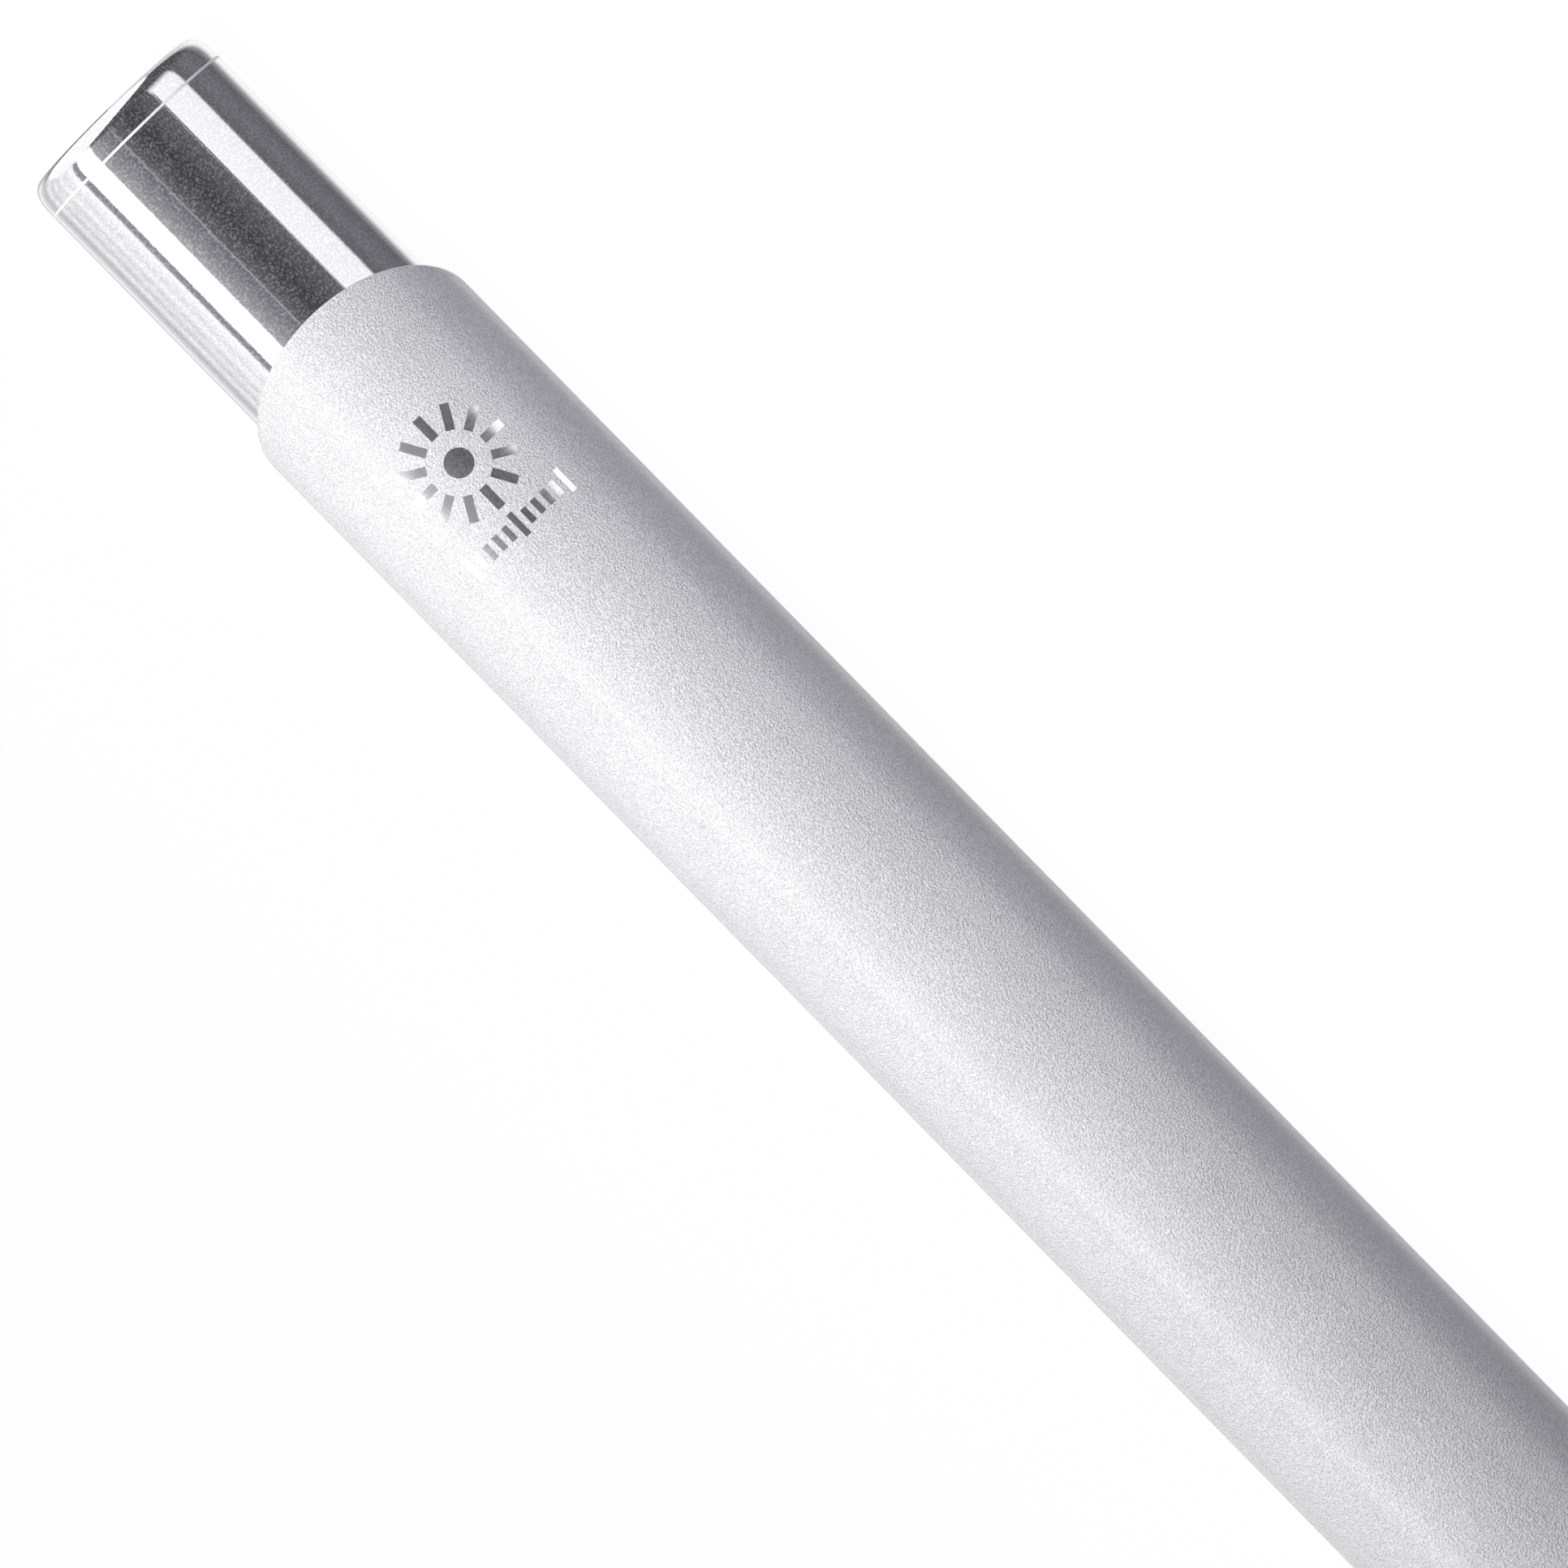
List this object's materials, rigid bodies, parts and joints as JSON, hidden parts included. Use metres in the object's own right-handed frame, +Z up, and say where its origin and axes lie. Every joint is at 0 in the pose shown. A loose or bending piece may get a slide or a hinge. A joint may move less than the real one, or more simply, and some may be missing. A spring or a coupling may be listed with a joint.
{
  "type": "ballpoint pen",
  "caption": "Retractable ballpoint pen: satin aluminium barrel with a slant-cut mouth, chrome push button on an indexing cam, spring clip, screw-off nose and a refill with a return spring.",
  "frame": {"origin": "on the table under the middle of the pen's bounding box, with the pen lying on its barrel and on one edge of its clip", "axes": "+X along the pen's axis from the writing end to the push button, +Z up; the pen's plain front faces -Y and up, and its clip +Y and down"},
  "size_m": [0.142, 0.0124, 0.01],
  "materials": {
    "barrel": "fine blasted satin",
    "guide_sleeve": "moulded",
    "clip": "polished",
    "thread_bush": "turned",
    "nose_ring": "polished",
    "nose_cone": "polished",
    "push_button": "polished",
    "button_cap": "polished",
    "button_core": "moulded",
    "plunger": "moulded",
    "cam_rotor": "moulded",
    "refill_tube": "translucent",
    "refill_plug": "moulded",
    "ink": "wet gel",
    "ink_follower": "clear grease",
    "refill_nose": "moulded",
    "point_socket": "turned",
    "writing_ball": "polished carbide",
    "return_spring": "drawn wire"
  },
  "bodies": {
    "barrel": {"barrel": "barrel", "guide_sleeve": "guide_sleeve", "thread_bush": "thread_bush", "return_spring": "return_spring"},
    "button": {"push_button": "push_button", "button_cap": "button_cap", "button_core": "button_core", "plunger": "plunger"},
    "refill": {"refill_tube": "refill_tube", "refill_plug": "refill_plug", "ink": "ink", "ink_follower": "ink_follower", "refill_nose": "refill_nose", "point_socket": "point_socket"},
    "rotor": {"cam_rotor": "cam_rotor"},
    "ball": {"writing_ball": "writing_ball"},
    "clip": {"clip": "clip"},
    "ring": {"nose_ring": "nose_ring"},
    "nose": {"nose_cone": "nose_cone"}
  },
  "joints": [
    {"name": "button_slide", "type": "slide", "parent": "barrel", "child": "button", "axis": [-1, 0, 0], "range_m": [0, 0.0065], "stiffness_N_per_m": 350, "springref_m": -0.005},
    {"name": "refill_slide", "type": "slide", "parent": "barrel", "child": "refill", "axis": [-1, 0, 0], "range_m": [0, 0.00583], "deforming": ["return_spring"]},
    {"name": "rotor_turn", "type": "hinge", "parent": "refill", "child": "rotor", "pos_m": [0.035, -0.00117, 0.005], "axis": [1, 0, 0], "range_deg": [0, 22.5]},
    {"name": "ball_roll", "type": "hinge", "parent": "refill", "child": "ball", "pos_m": [-0.0697, -0.00117, 0.005], "axis": [0, 1, 0], "continuous": true},
    {"name": "clip_flex", "type": "hinge", "parent": "barrel", "child": "clip", "pos_m": [0.0425, 0.00307, 0.00292], "axis": [0, -0.4395, -0.8982], "range_deg": [0, 4], "stiffness_Nm_per_rad": 1, "springref_deg": -4.58},
    {"name": "nose_slide", "type": "slide", "parent": "barrel", "child": "ring", "axis": [-1, 0, 0], "range_m": [0, 0.005]},
    {"name": "nose_turn", "type": "hinge", "parent": "ring", "child": "nose", "pos_m": [-0.06, -0.00117, 0.005], "axis": [-1, 0, 0], "range_deg": [0, 1800]}
  ],
  "couplings": [
    {"joint": "refill_slide", "follows": "button_slide", "ratio": 0.89615},
    {"joint": "rotor_turn", "follows": "button_slide", "rad_per_m": 60.415},
    {"joint": "nose_turn", "follows": "nose_slide", "rad_per_m": 6283.2}
  ]
}
